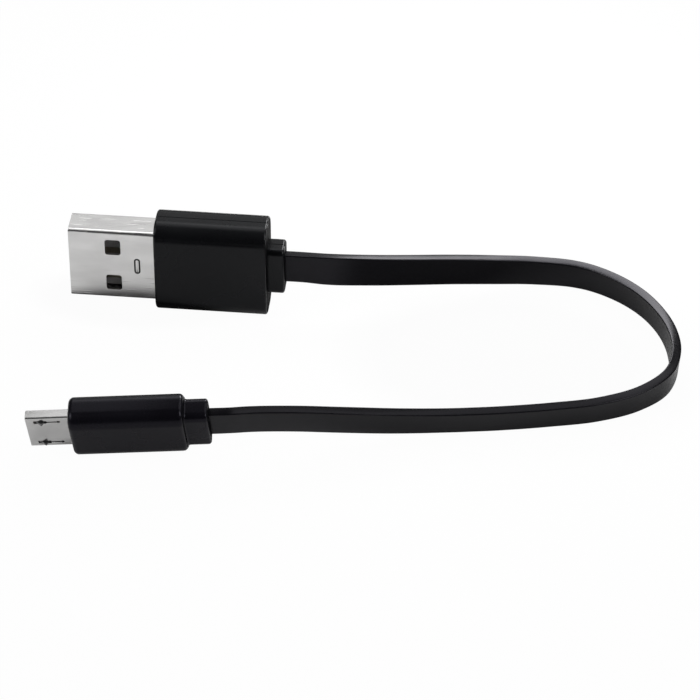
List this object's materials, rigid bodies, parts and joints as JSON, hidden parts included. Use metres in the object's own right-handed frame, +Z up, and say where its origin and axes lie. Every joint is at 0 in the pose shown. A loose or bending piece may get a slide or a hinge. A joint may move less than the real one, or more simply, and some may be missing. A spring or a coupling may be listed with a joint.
{
  "type": "charging cable",
  "caption": "Short flat charging cable with a type A plug at one end, a micro B plug with sprung latches at the other and one loop of flat jacket between them.",
  "frame": {"origin": "centre of the narrow side that the type A overmould stands on", "axes": "X along the type A plug from its tip to its cable, Y through its thickness away from the window face that is seen first, Z up across its width"},
  "size_m": [0.0909, 0.0502, 0.0154],
  "materials": {
    "steel": "satin nickel plate",
    "gilt": "flash gold plate",
    "tin": "bright solder",
    "black_plastic": "matte",
    "natural_plastic": "matte",
    "black_vinyl": "satin",
    "red_wire": "satin",
    "white_wire": "satin",
    "green_wire": "satin",
    "black_wire": "satin"
  },
  "bodies": {
    "cable": {"type_a_shell": "steel", "type_a_insulator": "black_plastic", "type_a_contact_power": "gilt", "type_a_contact_data_minus": "gilt", "type_a_contact_data_plus": "gilt", "type_a_contact_ground": "gilt", "type_a_solder": "tin", "type_a_core_red": "red_wire", "type_a_core_white": "white_wire", "type_a_core_green": "green_wire", "type_a_core_black": "black_wire", "type_a_inner_mould": "natural_plastic", "type_a_overmould": "black_vinyl", "micro_b_shell": "steel", "micro_b_insulator": "black_plastic", "micro_b_contact_power": "gilt", "micro_b_contact_data_minus": "gilt", "micro_b_contact_data_plus": "gilt", "micro_b_contact_identity": "gilt", "micro_b_contact_ground": "gilt", "micro_b_solder": "tin", "micro_b_core_red": "red_wire", "micro_b_core_white": "white_wire", "micro_b_core_green": "green_wire", "micro_b_core_black": "black_wire", "micro_b_inner_mould": "natural_plastic", "micro_b_overmould": "black_vinyl", "flat_cable": "black_vinyl"},
    "latch_left": {"micro_b_latch_left": "steel"},
    "latch_right": {"micro_b_latch_right": "steel"}
  },
  "joints": [
    {"name": "micro_b_latch_left_press", "type": "hinge", "parent": "cable", "child": "latch_left", "pos_m": [-0.01433, -0.036, 0.00221], "axis": [0.0462, 0.2963, -0.954], "range_deg": [0, 5.5], "stiffness_Nm_per_rad": 0.05},
    {"name": "micro_b_latch_right_press", "type": "hinge", "parent": "cable", "child": "latch_right", "pos_m": [-0.01456, -0.03745, 0.00689], "axis": [0.0462, 0.2963, -0.954], "range_deg": [0, 5.5], "stiffness_Nm_per_rad": 0.05}
  ]
}
